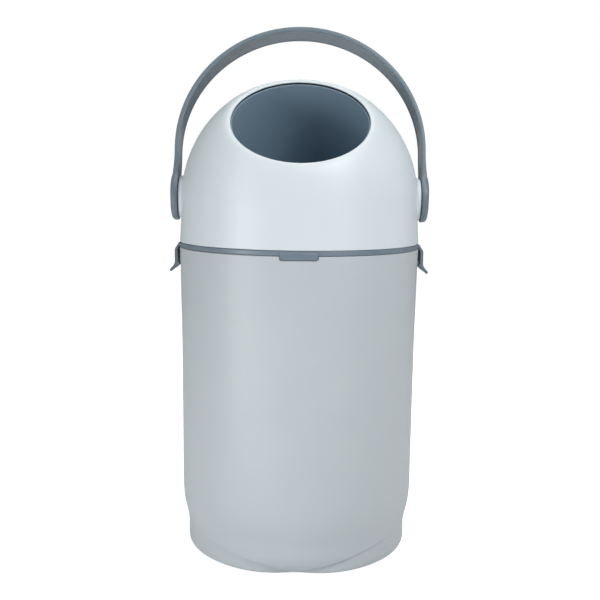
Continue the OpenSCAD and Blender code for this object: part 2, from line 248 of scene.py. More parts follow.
def block(name, lo, hi, edge=0.0):
    """A block with rounded vertical and end edges, used for cuts and small bosses."""
    r = edge
    out = fillet([(lo[0], lo[1], r), (hi[0], lo[1], r), (hi[0], hi[1], r), (lo[0], hi[1], r)]) if r else \
        [(lo[0], lo[1]), (hi[0], lo[1]), (hi[0], hi[1]), (lo[0], hi[1])]
    return prism(name, out, lo[2], hi[2], edge=edge)


def table(xs, ys):
    """Smooth curve through points, with no overshoot."""
    xs, ys = np.array(xs, float), np.array(ys, float)
    h, d = np.diff(xs), np.diff(ys) / np.diff(xs)
    m = np.zeros_like(ys)
    m[0], m[-1] = d[0], d[-1]
    for i in range(1, len(xs) - 1):
        if d[i - 1] * d[i] > 0:
            w1, w2 = 2 * h[i] + h[i - 1], h[i] + 2 * h[i - 1]
            m[i] = (w1 + w2) / (w1 / d[i - 1] + w2 / d[i])

    def f(q):
        q = np.clip(q, xs[0], xs[-1])
        i = np.clip(np.searchsorted(xs, q, side="right") - 1, 0, len(xs) - 2)
        t = (q - xs[i]) / h[i]
        return ((1 + 2 * t) * (1 - t) ** 2 * ys[i] + t * (1 - t) ** 2 * h[i] * m[i]
                + t * t * (3 - 2 * t) * ys[i + 1] + t * t * (t - 1) * h[i] * m[i + 1])
    return f


def smoothstep(x, a, b):
    t = np.clip((np.asarray(x, float) - a) / (b - a), 0, 1)
    return t * t * (3 - 2 * t)


def smax(a, b, k):
    h = np.maximum(k - np.abs(a - b), 0) / k
    return np.maximum(a, b) + h * h * k / 4


# ------------------------------------------------------------------ materials
def base_material(name):
    m = bpy.data.materials.new(name)
    m.use_nodes = True
    nt = m.node_tree
    nt.nodes.clear()
    out = nt.nodes.new("ShaderNodeOutputMaterial")
    b = nt.nodes.new("ShaderNodeBsdfPrincipled")
    nt.links.new(b.outputs["BSDF"], out.inputs["Surface"])
    tc = nt.nodes.new("ShaderNodeTexCoord")
    return m, nt, b, tc


def noise(nt, tc, scale, detail=3.0, rough=0.5, stretch=None):
    n = nt.nodes.new("ShaderNodeTexNoise")
    n.inputs["Scale"].default_value = scale
    n.inputs["Detail"].default_value = detail
    n.inputs["Roughness"].default_value = rough
    if stretch:
        mp = nt.nodes.new("ShaderNodeMapping")
        mp.inputs["Scale"].default_value = stretch
        nt.links.new(tc.outputs["Object"], mp.inputs["Vector"])
        nt.links.new(mp.outputs["Vector"], n.inputs["Vector"])
    else:
        nt.links.new(tc.outputs["Object"], n.inputs["Vector"])
    return n


def spread(nt, src, lo, hi, a=0.3, b=0.7):
    r = nt.nodes.new("ShaderNodeMapRange")
    r.inputs["From Min"].default_value = a
    r.inputs["From Max"].default_value = b
    r.inputs["To Min"].default_value = lo
    r.inputs["To Max"].default_value = hi
    nt.links.new(src, r.inputs["Value"])
    return r.outputs["Result"]


def moulded(name, colour, other, rough=(0.34, 0.42), grain=1400.0, bump=0.05, depth=0.00006,
            mottle=22.0, spec=0.5, soft=0.0, streak=None, fine=0.35):
    """Moulded plastic or rubber: slow colour drift, fine mould texture, uneven gloss."""
    m, nt, b, tc = base_material(name)
    n1 = noise(nt, tc, mottle, 4.0, 0.55, streak)
    mix = nt.nodes.new("ShaderNodeMix")
    mix.data_type = "RGBA"
    mix.inputs[6].default_value = (*colour, 1)
    mix.inputs[7].default_value = (*other, 1)
    nt.links.new(spread(nt, n1.outputs["Fac"], 0.0, 1.0, 0.32, 0.68), mix.inputs[0])
    nt.links.new(mix.outputs[2], b.inputs["Base Color"])
    n2 = noise(nt, tc, mottle * 5.0, 3.0, 0.6)
    nt.links.new(spread(nt, n2.outputs["Fac"], rough[0], rough[1]), b.inputs["Roughness"])
    # two sizes of grain: the mould's spark texture and a slow, shallow unevenness
    g1 = noise(nt, tc, grain, 2.0, 0.5)
    g2 = noise(nt, tc, 38.0, 2.0, 0.5)
    add = nt.nodes.new("ShaderNodeMath")
    add.operation = "MULTIPLY_ADD"
    nt.links.new(g2.outputs["Fac"], add.inputs[0])
    add.inputs[1].default_value = fine
    nt.links.new(g1.outputs["Fac"], add.inputs[2])
    bp = nt.nodes.new("ShaderNodeBump")
    bp.inputs["Strength"].default_value = bump
    bp.inputs["Distance"].default_value = depth
    nt.links.new(add.outputs[0], bp.inputs["Height"])
    nt.links.new(bp.outputs["Normal"], b.inputs["Normal"])
    b.inputs["Specular IOR Level"].default_value = spec
    if soft:
        b.inputs["Subsurface Weight"].default_value = soft
        b.inputs["Subsurface Radius"].default_value = (0.004, 0.004, 0.004)
        b.inputs["Subsurface Scale"].default_value = 1.0
    return m


def metal(name, colour, rough=(0.22, 0.38)):
    m, nt, b, tc = base_material(name)
    n1 = noise(nt, tc, 420.0, 3.0, 0.6, (1.0, 1.0, 0.15))
    mix = nt.nodes.new("ShaderNodeMix")
    mix.data_type = "RGBA"
    mix.inputs[6].default_value = (*colour, 1)
    mix.inputs[7].default_value = (*[c * 0.8 for c in colour], 1)
    nt.links.new(n1.outputs["Fac"], mix.inputs[0])
    nt.links.new(mix.outputs[2], b.inputs["Base Color"])
    nt.links.new(spread(nt, n1.outputs["Fac"], *rough), b.inputs["Roughness"])
    b.inputs["Metallic"].default_value = 1.0
    bp = nt.nodes.new("ShaderNodeBump")
    bp.inputs["Strength"].default_value = 0.08
    bp.inputs["Distance"].default_value = 0.00004
    nt.links.new(n1.outputs["Fac"], bp.inputs["Height"])
    nt.links.new(bp.outputs["Normal"], b.inputs["Normal"])
    return m


M_BIN = moulded("bin_white", (0.470, 0.516, 0.542), (0.460, 0.504, 0.534), rough=(0.40, 0.46))
M_DOME = moulded("dome_white", (0.638, 0.706, 0.733), (0.628, 0.693, 0.725), rough=(0.36, 0.42))
M_GREY = moulded("slate_grey", (0.150, 0.195, 0.231), (0.134, 0.177, 0.211), rough=(0.36, 0.46), bump=0.07)
M_RING = moulded("ring_grey", (0.163, 0.211, 0.254), (0.143, 0.189, 0.231), rough=(0.32, 0.42), bump=0.06)
M_CUP = moulded("cup_grey", (0.203, 0.285, 0.358), (0.192, 0.270, 0.342), rough=(0.34, 0.44), bump=0.05)
M_RUBBER = moulded("foot_rubber", (0.030, 0.032, 0.034), (0.040, 0.042, 0.044), rough=(0.62, 0.78), grain=900.0, bump=0.25)
M_SEAL = moulded("seal_rubber", (0.045, 0.050, 0.056), (0.055, 0.060, 0.066), rough=(0.50, 0.64), grain=1100.0, bump=0.16)
M_NYLON = moulded("nylon_natural", (0.66, 0.655, 0.600), (0.60, 0.598, 0.545), rough=(0.34, 0.46), bump=0.08, soft=0.15)
M_STEEL = metal("plated_steel", (0.60, 0.61, 0.62))


def dress(ob, mat, body, slot, *nodes):
    if "sharp" in ob:
        finish_mesh(ob, ob["sharp"])
        del ob["sharp"]
    ob.data.materials.clear()
    ob.data.materials.append(mat)
    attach(ob, body)
    if nodes:
        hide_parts(*nodes)
    return ob


def paint(node, mat):
    me = NODES[node].data
    if len(me.materials) == 0:
        me.materials.append(mat)
    for i in range(len(me.materials)):
        me.materials[i] = mat


# ------------------------------------------------------------------ bin body
BOWL = table(
    [0.5, 1, 2, 3, 6, 8, 10, 12, 15, 19, 21, 25, 32, 38, 45, 50, 60, 69],
    [106, 108, 111, 113, 115.8, 117.7, 119.4, 120.9, 122.6, 124.1, 124.6, 125.1, 125.6, 126.3, 127.9, 129.1, 130.8, 131.5])
RIM_R, RIM_Z = 135.0, 345.6
TAB_HALF = 20.0        # half width of the recess for the ring's tab
TAB_FLOOR = 341.6


def bin_body():
    a = set(np.round(np.linspace(0, 360, 480, endpoint=False), 4))
    # closer columns at the sides of the tab recess
    for s in (-1, 1):
        for x in np.concatenate([np.linspace(17.0, 19.9, 16), [19.97, 20.03, 20.12], np.linspace(20.3, 21.2, 4)]):
            a.add(round((s * math.degrees(math.asin(x / 135))) % 360, 4))
    # closer columns beside the cusp of the foot
    for x in (0.25, 0.5, 1.0, 1.5, 2.2, 3.0, 4.0):
        for c in (0, 180):
            a.add(round((c + x) % 360, 4))
            a.add(round((c - x) % 360, 4))
    a = np.array(sorted(a))
    th = np.radians(a)
    fold = np.minimum(a % 180, 180 - a % 180)
    sf = np.sin(np.radians(fold))
    zc = np.full(len(a), 3.0)
    for _ in range(30):
        zc = 3 + 0.27 * BOWL(zc) * sf
    rc = BOWL(zc)
    rows = []

    def row(r, z):
        r = np.broadcast_to(r, th.shape)
        z = np.broadcast_to(z, th.shape)
        rows.append(np.stack([r * np.sin(th), -r * np.cos(th), z], -1))

    # the foot is set in under the crease, a little at the sides and more at the front
    w = smoothstep(zc, 8, 34)
    wall_r = np.minimum(rc - 4.0 + 2.9 * w, 125.1)
    edge = 3.0 + 6.0 * w
    z_round = np.minimum(np.maximum(zc - 1.0, 1.6), 4.2 + 8.0 * w)
    # under the foot, then up its rounded edge
    toe = wall_r - edge
    row(toe - 4.0, 8.8)
    row(toe - 3.9, 5.0)
    row(toe - 3.8, 1.6)
    row(toe - 3.4, 1.25)
    row(toe - 0.6, 1.2)
    for k in range(1, 9):
        b = math.radians(90 - 90 * k / 8)
        row(wall_r - edge * (1 - math.cos(b)), z_round - (z_round - 1.2) * math.sin(b))
    # straight wall of the foot up to the crease, with a small step under the bowl
    under = zc - np.minimum(1.0, 0.5 * (zc - z_round))
    for t in (0.25, 0.5, 0.75, 1.0):
        row(wall_r, z_round + (under - z_round) * t)
    for t in (0.02, 0.12, 0.35, 0.7, 0.93):
        row(wall_r + (rc - wall_r) * t, under + (zc - 0.12 - under) * min(1.0, 3 * t))
    row(rc, zc)
    # the bowl, from the crease up
    for u in np.linspace(0, 1, 31)[1:]:
        z = zc + (69 - zc) * (0.25 * u + 0.75 * u ** 1.6)
        row(BOWL(z), z)
    up = table([69, 88, 126, 192, 248, 275, 294, 312, 330, 340.0], [131.5, 131.75, 132.0, 132.5, 133.0, 133.5, 133.9, 134.2, 134.65, 134.9])
    for z in (74, 80, 88, 98, 110, 126, 148, 170, 192, 215, 235, 255, 275, 294, 312, 325, 334, 338.6):
        row(up(np.array(float(z))), z)
    # rim, lowered in the recess for the tab
    x = np.abs(RIM_R * np.sin(th))
    front = np.cos(th) > 0
    inside = front & (x < TAB_HALF)
    k = np.clip(x - (TAB_HALF - 2.2), 0, 2.2)
    top = np.where(inside, TAB_FLOOR + 2.2 - np.sqrt(np.maximum(2.2 ** 2 - k ** 2, 0)), RIM_Z)
    R = 1.15
    row(np.where(inside, 134.9, 134.93), np.where(inside, 339.0, 341.4))
    row(134.98, top - R - 0.25)
    for q in range(0, 7):
        b = math.radians(15 * q)
        row(RIM_R - R * (1 - math.cos(b)), top - R + R * math.sin(b))
    row(np.where(inside, 133.35, 133.6), top)
    row(np.where(inside, 133.12, 133.3), top + np.where(inside, 0.08, 0))
    row(np.where(inside, 133.0, 133.1), np.where(inside, top + 0.3, RIM_Z))
    row(133.0, np.where(inside, RIM_Z - 0.35, RIM_Z))
    row(np.where(inside, 132.92, 132.9), np.where(inside, RIM_Z - 0.1, RIM_Z))
    row(132.7, RIM_Z)
    for q in range(0, 4):
        b = math.radians(30 * q)
        row(132.3 - 0.5 * math.sin(b), RIM_Z - 0.5 + 0.5 * math.cos(b))
    # inside, down to the ledge of the bag ring and the floor
    row(131.8, 344.6)
    for r, z in [(131.8, 333.2), (131.65, 332.5), (131.2, 332.1), (130.6, 332.0), (129.0, 332.0), (128.4, 331.85),
                 (128.05, 331.4), (128.0, 330.8), (128.0, 327.0), (128.3, 325.7), (130.9, 321.4), (131.4, 320.2), (131.55, 318.5)]:
        row(r, z)
    for r, z in [(131.4, 300), (131.2, 285), (130.7, 250), (130.2, 210), (129.7, 170), (129.3, 125), (129.1, 90),
                 (128.8, 72), (127.7, 58), (125.6, 47), (123.9, 40), (123.0, 33), (122.6, 25), (122.3, 20), (121.4, 16.6),
                 (119.6, 14.0), (116.6, 12.2), (113, 11.6), (108, 11.5), (90, 11.5), (60, 11.5), (30, 11.5), (0, 11.5)]:
        row(r, z)
    # back of the floor
    for r, z in [(0, 8.9), (30, 8.9), (60, 8.9), (85, 8.9), (95, 8.9)]:
        row(r, z)
    P = np.stack(rows)
    ob = closed_grid("bin_body_shell", P, sharp=40)
    # islands that hold the rubber feet
    for q in (45, 135, 225, 315):
        isl = lathe("t", fillet([(0, 9.6), (11.5, 9.6), (11.5, 1.2, 0.5), (9.1, 1.2, 0.2), (9.1, 4.6), (0, 4.6)]), 64,
                    lambda P, q=q: spin(P + np.array([0, -104.0, 0]), q), keep=False)
        ob = union(ob, isl, 40)
    # catches under the side clips, ramped on top
    for s in (-1, 1):
        out = fillet([(132.6, 326.9), (136.0, 327.3, 0.4), (136.3, 328.2, 0.3), (136.3, 330.2, 0.6), (134.9, 331.5, 0.5), (132.6, 331.9)])
        c = prism("t", [(s * px, pz) for px, pz in out], -12, 12, 0.5,
                  lambda P: np.stack([P[..., 0], P[..., 2], P[..., 1]], -1))
        ob = union(ob, c, 40)
    ob.name = "bin_body_shell"
    return ob


dress(bin_body(), M_BIN, "bin", "bin_plastic", "bin_body")


def rubber_feet():
    parts = []
    for q in (45, 135, 225, 315):
        out = fillet([(0, 0.35), (2.2, 0.35), (2.8, 0.0, 0.2), (7.6, 0.0, 0.2), (8.95, 0.9, 0.6), (8.95, 4.4, 0.3), (0, 4.4)])
        parts.append(lathe("t", out, 72, lambda P, q=q: spin(P + np.array([0, -104.0, 0]), q)))
    return join("rubber_feet_pads", parts)


dress(rubber_feet(), M_RUBBER, "bin", "rubber", "rubber_feet")


def bag_ring():
    out = fillet([(118.6, 306, 0.6), (120.7, 306, 0.6), (121.0, 330.4, 1.2), (122.4, 332.2, 1.0), (131.3, 332.2, 0.7),
                  (131.3, 334.6, 0.8), (118.0, 334.6, 1.2), (118.0, 331.0, 0.4)])
    ob = lathe("bag_ring_turned", out, 300)
    return ob


dress(bag_ring(), M_RING, "liner", "grey_plastic", "bag_ring")


# ------------------------------------------------------------------ dome
DOME_R, DOME_RISE = 133.0, 1.1


def skirt(z, base, flare):
    s = np.clip((PIVOT - z) / 48.4, 0, 1)
    return base + flare * s ** 1.5


def cast(D, base, flare):
    """Points where rays D from the dome's centre meet its surface."""
    dxy = np.hypot(D[..., 0], D[..., 1])
    high = 1 / np.sqrt((dxy / base) ** 2 + (D[..., 2] / (base + DOME_RISE)) ** 2)
    k = high.copy()
    low = D[..., 2] < 0
    for _ in range(16):
        k = np.where(low, skirt(PIVOT + k * D[..., 2], base, flare) / np.maximum(dxy, 1e-6), high)
    # a ray below the axis meets a wall that stands nearly upright there
    return D * k[..., None] + np.array([0, 0, PIVOT])


def dome_shell():
    n = 384
    ph = np.linspace(0, TAU, n, endpoint=False)
    A = np.array([0, -math.sin(TILT), math.cos(TILT)])
    V = np.array([0, math.cos(TILT), math.sin(TILT)])
    X = np.array([1.0, 0, 0])
    E = X[None] * np.sin(ph)[:, None] - V[None] * np.cos(ph)[:, None]

    def ray(al):
        al = np.broadcast_to(al, ph.shape)
        return A[None] * np.cos(al)[:, None] + E * np.sin(al)[:, None]

    lo, hi = np.full(n, math.radians(42)), np.full(n, math.radians(175))
    for _ in range(50):
        mid = (lo + hi) / 2
        d = ray(mid)
        up = d[:, 2] + 47.4 / 134.98 * np.hypot(d[:, 0], d[:, 1]) > 0
        lo, hi = np.where(up, mid, lo), np.where(up, hi, mid)
    a_end = (lo + hi) / 2
    rows = []

    def ring(rho, d):
        rows.append(A[None] * d + E * rho + np.array([0, 0, PIVOT]))

    # under the lip, round its edge and out onto the dome
    for rho, d in [(78.6, 104.35), (76.8, 104.3), (75.9, 104.33), (75.3, 104.45), (74.9, 104.65), (74.66, 104.95), (74.6, 105.3),
                   (74.66, 105.6), (74.85, 105.9), (75.15, 106.13), (75.55, 106.3), (76.0, 106.37)]:
        ring(rho, d)
    # the ball meets the lip along a ring whose place follows the ball's own shape
    a0 = math.radians(40.9)
    c0 = cast(ray(a0), DOME_R, 2.0) - np.array([0, 0, PIVOT])
    d2 = c0 @ A
    r2 = np.linalg.norm(c0 - d2[:, None] * A, axis=1)
    slope = math.tan(a0)
    p0 = np.stack([np.full(n, 76.5), np.full(n, 106.4)])
    p1 = np.stack([r2 - (106.4 - d2) / slope, np.full(n, 106.4)])
    p2 = np.stack([r2, d2])
    for t in np.linspace(0, 1, 17):
        q = (1 - t) ** 2 * p0 + 2 * t * (1 - t) * p1 + t * t * p2
        rows.append(A[None] * q[1][:, None] + E * q[0][:, None] + np.array([0, 0, PIVOT]))
    N = 92
    for i in range(1, N + 1):
        rows.append(cast(ray(a0 + (a_end - a0) * i / N), DOME_R, 2.0))
    d = ray(a_end)
    H = np.stack([d[:, 0], d[:, 1]], -1)
    H /= np.linalg.norm(H, axis=1)[:, None]

    def low(r, z):
        rows.append(np.concatenate([H * r, np.full((n, 1), z)], 1))
    for q in range(1, 8):
        b = math.radians(90 * q / 7)
        low(134.0 + 0.98 * math.cos(b), 352.58 - 0.98 * math.sin(b))
    low(133.3, 351.6)
    low(132.95, 351.62)
    low(132.6, 351.75)
    low(132.45, 352.1)
    a1 = math.asin(79.8 / 130.9)
    N = 40
    for i in range(N + 1):
        rows.append(cast(ray(a_end + (a1 - a_end) * i / N), 130.6, 1.9))
    ob = closed_grid("dome_shell_moulded", np.stack(rows), sharp=38)
    for s in (-1, 1):
        # boss behind the handle end, blended onto the ball
        out = [(28.6, 129.2), (27.4, 130.05), (26.4, 130.55), (25.55, 131.05), (24.9, 131.6), (24.4, 132.2), (24.05, 132.85), (23.8, 133.5),
               (23.6, 134.2), (23.44, 134.8), (23.26, 135.2), (23.0, 135.52), (22.65, 135.74), (22.2, 135.8), (18, 135.8), (12, 135.8),
               (12, 130.9), (18, 130.3), (30.6, 127.9)]
        ob = union(ob, lathe("t", out, 180, lambda P, s=s: to_side(P, s), keep=False), 38)
        # inner boss round the bush, and the stop for the drum
        ob = union(ob, lathe("t", fillet([(9, 128.2), (15.5, 128.2, 0.5), (15.5, 133.0), (9, 133.0)]), 96, lambda P, s=s: to_side(P, s)), 38)
        arc = [math.radians(195 + 20 * i / 8) for i in range(9)]
        sec = [(-24 * math.sin(t), 24 * math.cos(t)) for t in arc] + [(-19.5 * math.sin(t), 19.5 * math.cos(t)) for t in arc[::-1]]
        ob = union(ob, prism("t", sec, 125.2, 132.0, 0.3,
                             lambda P, s=s: np.stack([s * P[..., 2], P[..., 0], P[..., 1] + PIVOT], -1)), 38)
    # bosses for the ring screws, each with a rib to the wall
    for q in range(30, 360, 60):
        P = lambda P, q=q: spin(P + np.array([0, -126.9, 0]), q + 90)
        ob = union(ob, lathe("t", fillet([(0, 351.6), (3.2, 351.6, 0.3), (3.2, 363.6, 0.5), (0, 363.6)]), 48, P, keep=False), 38)
        ob = union(ob, prism("t", [(-1.2, 128.7 - 126.9), (1.2, 128.7 - 126.9), (1.2, 133.3 - 126.9), (-1.2, 133.3 - 126.9)], 352.2, 363.2, 0,
                             lambda P, q=q: spin(P * np.array([1, -1, 1]) + np.array([0, -126.9, 0]), q + 90)), 38)
        ob = take(ob, lathe("t", [(0, 350), (1.5, 350), (1.5, 362.6), (0, 362.6)], 32, P, keep=False), 38)
    for s in (-1, 1):
        ob = take(ob, lathe("t", [(0, 124), (10.55, 124), (10.55, 140), (0, 140)], 96, lambda P, s=s: to_side(P, s), keep=False), 38)
    ob.name = "dome_shell_moulded"
    return ob


dress(dome_shell(), M_DOME, "head", "dome_plastic", "dome_shell")


# ------------------------------------------------------------------ base ring
CLIP_HALF = 17.0


def base_ring():
    out = fillet([(120.5, 346, 0.4), (130, 346), (130.2, 338, 0.3), (131.1, 338, 0.3), (131.4, 339, 0.3), (131.4, 346, 0.2),
                  (134.62, 346, 0.9), (134.72, 348.6, 6), (134.62, 351.3, 0.9), (120.5, 351.3, 0.6)])
    ob = lathe("base_ring_moulded", out, 480)
    # front tab: a plate with rounded lower corners and a crowned face
    nx, nz = 72, 26
    W, z0, z1, R = 19.5, 342.0, 349.7, 2.3
    edge = np.array([0, 0.06, 0.2, 0.45, 0.8, 1.2, 1.7])
    tx = np.concatenate([-W + edge, np.linspace(-W + 2.4, W - 2.4, nx), (W - edge)[::-1]])
    tz = np.concatenate([z0 + edge, np.linspace(z0 + 2.4, z1 - 2.0, nz), (z1 - edge)[::-1]])
    Xg, Zg = np.meshgrid(tx, tz)
    # pull the lower corners in to a radius
    cx, cz = W - R, z0 + R
    dx, dz = np.maximum(np.abs(Xg) - cx, 0), np.maximum(cz - Zg, 0)
    m = np.maximum(dx, dz)
    L = np.hypot(dx, dz)
    f = np.where(L > 1e-9, m / np.maximum(L, 1e-9), 1.0)
    Xn = np.sign(Xg) * np.where(dx > 0, cx + dx * f, np.abs(Xg))
    Zn = np.where(dz > 0, cz - dz * f, Zg)
    e = np.minimum(R - np.hypot(np.maximum(np.abs(Xn) - cx, 0), np.maximum(cz - Zn, 0)), z1 - Zn)
    e = np.where((np.abs(Xn) <= cx) & (Zn >= cz), np.minimum(np.minimum(W - np.abs(Xn), Zn - z0), z1 - Zn), e)
    q = 1.1
    drop = np.where(e < q, q - np.sqrt(np.maximum(q * q - (q - np.clip(e, 0, q)) ** 2, 0)), 0)
    # the face is flatter than the ring and leans back a little
    t = np.clip((Zn - z0) / (z1 - z0), 0, 1)
    q2 = 2.4
    top = np.clip(q2 - (z1 - Zn), 0, q2)
    drop = np.maximum(drop, 0.6 * (q2 - np.sqrt(np.maximum(q2 * q2 - top * top, 0))))
    front = np.stack([Xn, -(136.2 - 1.15 * t - Xn ** 2 / 700.0 - drop), Zn], -1)
    back = np.stack([Xn, -np.sqrt(133.4 ** 2 - Xn ** 2), Zn], -1)
    r, c = front.shape[:2]
    V = np.concatenate([front.reshape(-1, 3), back.reshape(-1, 3)])
    F = grid_faces(r, c, False, False)
    F = np.concatenate([F, F[:, ::-1] + r * c])
    idx = np.arange(r * c).reshape(r, c)
    loop = np.concatenate([idx[0, :-1], idx[:-1, -1], idx[-1, :0:-1], idx[:0:-1, 0]])
    nx_ = np.roll(loop, -1)
    side = np.stack([loop, loop + r * c, nx_ + r * c, nx_], -1)
    ob = union(ob, make("t", V, np.concatenate([F, side]), 38), 34)
    for s in (-1, 1):
        ob = take(ob, block("t", (130.5 if s > 0 else -140, -CLIP_HALF - 0.3, 345), (140 if s > 0 else -130.5, CLIP_HALF + 0.3, 353)), 34)
        for t in (-1, 1):
            y0, y1 = (CLIP_HALF + 0.3, CLIP_HALF + 4.3) if t > 0 else (-CLIP_HALF - 4.3, -CLIP_HALF - 0.3)
            ear = lathe("t", fillet([(0, y0), (2.1, y0, 0.35), (2.1, y1, 0.35), (0, y1)]), 48,
                        lambda P, s=s: to_y(P, s * 133.3, 348.6))
            ob = union(ob, ear, 34)
        ob = take(ob, lathe("t", [(0, -26), (1.02, -26), (1.02, 26), (0, 26)], 32, lambda P, s=s: to_y(P, s * 133.3, 348.6), keep=False), 34)
    for q in range(30, 360, 60):
        P = lambda P, q=q: spin(P + np.array([0, -126.9, 0]), q + 90)
        ob = take(ob, lathe("t", [(0, 345), (2.95, 345), (2.95, 348.2), (1.7, 348.2), (1.7, 353), (0, 353)], 32, P, keep=False), 34)
    groove = lathe("t", [(132.1, 345.5), (134.0, 345.5), (134.0, 347.6), (132.1, 347.6)], 480, keep=False)
    groove = take(groove, block("t", (-20.5, -150, 344), (20.5, -100, 349)))
    for s in (-1, 1):
        groove = take(groove, block("t", (100 if s > 0 else -140, -22, 344), (140 if s > 0 else -100, 22, 349)))
    ob = take(ob, groove, 34)
    ob.name = "base_ring_moulded"
    return ob


dress(base_ring(), M_RING, "head", "grey_plastic", "base_ring")


# ------------------------------------------------------------------ drum
def drum_cup():
    md, dep, lr = 102.4, 126.0, 68.4
    outer = [(75.6, md + 0.05, 0.1), (74.3, md + 0.05, 0.3), (74.2, md - 1, 0.3), (lr + 2.3, md - dep, 6),
             (lr - 2.0, md - dep - 13.0, 9), (lr - 16, md - dep - 17.4, 8), (0, md - dep - 19)]
    inner = [(0, md - dep - 16.7), (lr - 17, md - dep - 15.2, 8), (lr - 4.2, md - dep - 11.4, 9), (lr - 0.1, md - dep, 8),
             (72.9, md - 1.2, 0.5), (73.1, md + 0.35, 0.3), (73.5, md + 0.8, 0.3), (74.1, md + 0.7, 0.4), (75.6, md + 0.15, 0.1)]
    q = fillet(outer + inner, 8)
    # more rings down the long walls, for even shading
    out = []
    for i in range(len(q)):
        a, b = np.array(q[i]), np.array(q[(i + 1) % len(q)])
        L = np.linalg.norm(b - a)
        k = max(1, int(L // 8)) if a[0] > 1e-6 or b[0] > 1e-6 else 1
        out += [tuple(a + (b - a) * j / k) for j in range(k)]
    return lathe("drum_cup_turned", out, 320, to_cup, sharp=40, keep=False)


dress(drum_cup(), M_CUP, "drum", "drum_plastic", "drum_cup")
paint("drum_front_shell", M_CUP)
paint("drum_back_shell", M_CUP)


# ------------------------------------------------------------------ handle
WHOLE = ("EXACT", "MANIFOLD")     # the strap's own faces stay as they are, for even shading


def handle():
    RA, T, HC, W, PR = 141.4, 5.4, 55.7, 16.5, 25.5
    xo = table([-26, -6, 4, 12, 20, 28, 36, 44, 50, HC], [137.5, 141.8, 143.4, 143.8, 143.4, 142.6, 141.85, 141.45, 141.4, 141.4])
    xi = table([-26, 20, 25, 32, 40, 46, HC], [136.4, 136.4, 136.38, 136.2, 136.0, 136.0, 136.0])
    ee = np.array([0, 0.1, 0.28, 0.55, 0.9, 1.35, 1.9, 2.5, 3.1, 3.5, 4.0, 4.6])

    def section(h, legs=True):
        c = math.sqrt(max(PR * PR - h * h, 0)) if legs else 0
        if not legs:
            w, slope = W, 0.0
        else:
            strap = W if h > 0 else 0
            w = float(smax(np.array(c), np.array(float(strap)), 9.0)) if h > 6 else c
            h2 = h + 0.01
            c2 = math.sqrt(max(PR * PR - h2 * h2, 0))
            w2 = float(smax(np.array(c2), np.array(float(W)), 9.0)) if h2 > 6 else c2
            slope = (w2 - w) / 0.01
        k = min(1.0, w / 6.0)
        y = np.concatenate([-w + ee * k, np.linspace(-w + 5.6 * k, w - 5.6 * k, 13), (w - ee * k)[::-1]])
        if legs:
            rho = np.hypot(y, h)
            e_pad = PR - rho
            e_str = (w - np.abs(y)) / math.sqrt(1 + min(slope * slope, 400))
            t = float(smoothstep(h, 8, 20))
            e = np.maximum(e_pad * (1 - t) + e_str * t, 0)
            e[0] = e[-1] = 0
            crown = 144.7 - 1.7 * (np.maximum(rho - 13.5, 0) / 12.0) ** 2
            crown = crown - 0.9 * np.maximum(rho - PR, 0)
            out = smax(crown, np.full_like(y, float(xo(h))), 2.4)
            f = float(smoothstep(h, 8, 40))
            Ro, Ri, ch = 3.3 + (1.5 - 3.3) * f, 0.8 + (1.3 - 0.8) * f, float(smoothstep(h, 26, 44))
            inn = np.full_like(y, float(xi(h)))
        else:
            e = w - np.abs(y)
            out, inn = np.full_like(y, RA), np.full_like(y, RA - T)
            Ro, Ri, ch = 1.5, 1.3, 1.0
        dr = lambda R: np.where(e < R, R - np.sqrt(np.maximum(R * R - (R - np.clip(e, 0, R)) ** 2, 0)), 0)
        out = out - dr(Ro)
        # shallow channel on the hand side of the strap
        inn = inn + dr(Ri) + 0.5 * ch * smoothstep(e, 2.4, 4.6)
        mid = (out[0] + inn[0]) / 2
        yy = np.concatenate([y, [w], y[::-1], [-w]])
        xx = np.concatenate([out, [mid], inn[::-1], [mid]])
        return yy, xx

    legs = [-PR + v for v in (0, 0.03, 0.1, 0.22, 0.4, 0.65, 1.0, 1.45, 2.0, 2.7, 3.5, 4.5, 5.7, 7.2, 9, 11, 13.5, 16.5, 19.5, 22.5, 25.5)]
    legs += list(np.arange(1.5, 30, 1.5)) + list(np.arange(30, HC - 1, 2.2))
    rows = []
    for h in legs:
        y, x = section(h)
        rows.append(np.stack([x, y, np.full_like(x, h)], -1))
    for a in np.linspace(0, 180, 121):
        y, x = section(HC, legs=False)
        t = math.radians(a)
        rows.append(np.stack([x * math.cos(t), y, HC + x * math.sin(t)], -1))
    for h in legs[::-1]:
        y, x = section(h)
        rows.append(np.stack([-x, y, np.full_like(x, h)], -1))
    ob = closed_grid("handle_arch", to_handle(np.stack(rows)), sharp=42, wrap_rows=False)
    for s in (-1, 1):
        ob = take(ob, lathe("t", [(0, 140.7), (4.2, 140.7), (4.2, 142.8), (15.2, 142.8), (15.2, 150), (0, 150)], 120,
                            lambda P, s=s: to_side(P, s), keep=False), 42, WHOLE)
        ob = take(ob, lathe("t", [(0, 134), (2.2, 134), (2.2, 142), (0, 142)], 48, lambda P, s=s: to_side(P, s), keep=False), 42, WHOLE)
        sq = prism("t", [(-5.55, -5.55), (5.55, -5.55), (5.55, 5.55), (-5.55, 5.55)], 130, 139.8, 0,
                   lambda P, s=s: to_cup(np.stack([s * P[..., 2], P[..., 0], P[..., 1]], -1)))
        ob = take(ob, sq, 42, WHOLE)
    ob.name = "handle_arch"
    return ob


dress(handle(), M_GREY, "drum", "grey_plastic", "handle")


def caps():
    out = fillet([(0, 142.9), (14.9, 142.9, 0.2), (14.9, 144.35, 0.6), (13.6, 144.85, 1.0), (8.0, 145.12, 4), (0, 145.2)])
    for s, n in ((1, "right"), (-1, "left")):
        ob = lathe("pivot_cap_domed_" + n, out, 128, lambda P, s=s: to_side(P, s))
        dress(ob, M_GREY, "drum", "grey_plastic", "pivot_cap_" + n)


caps()

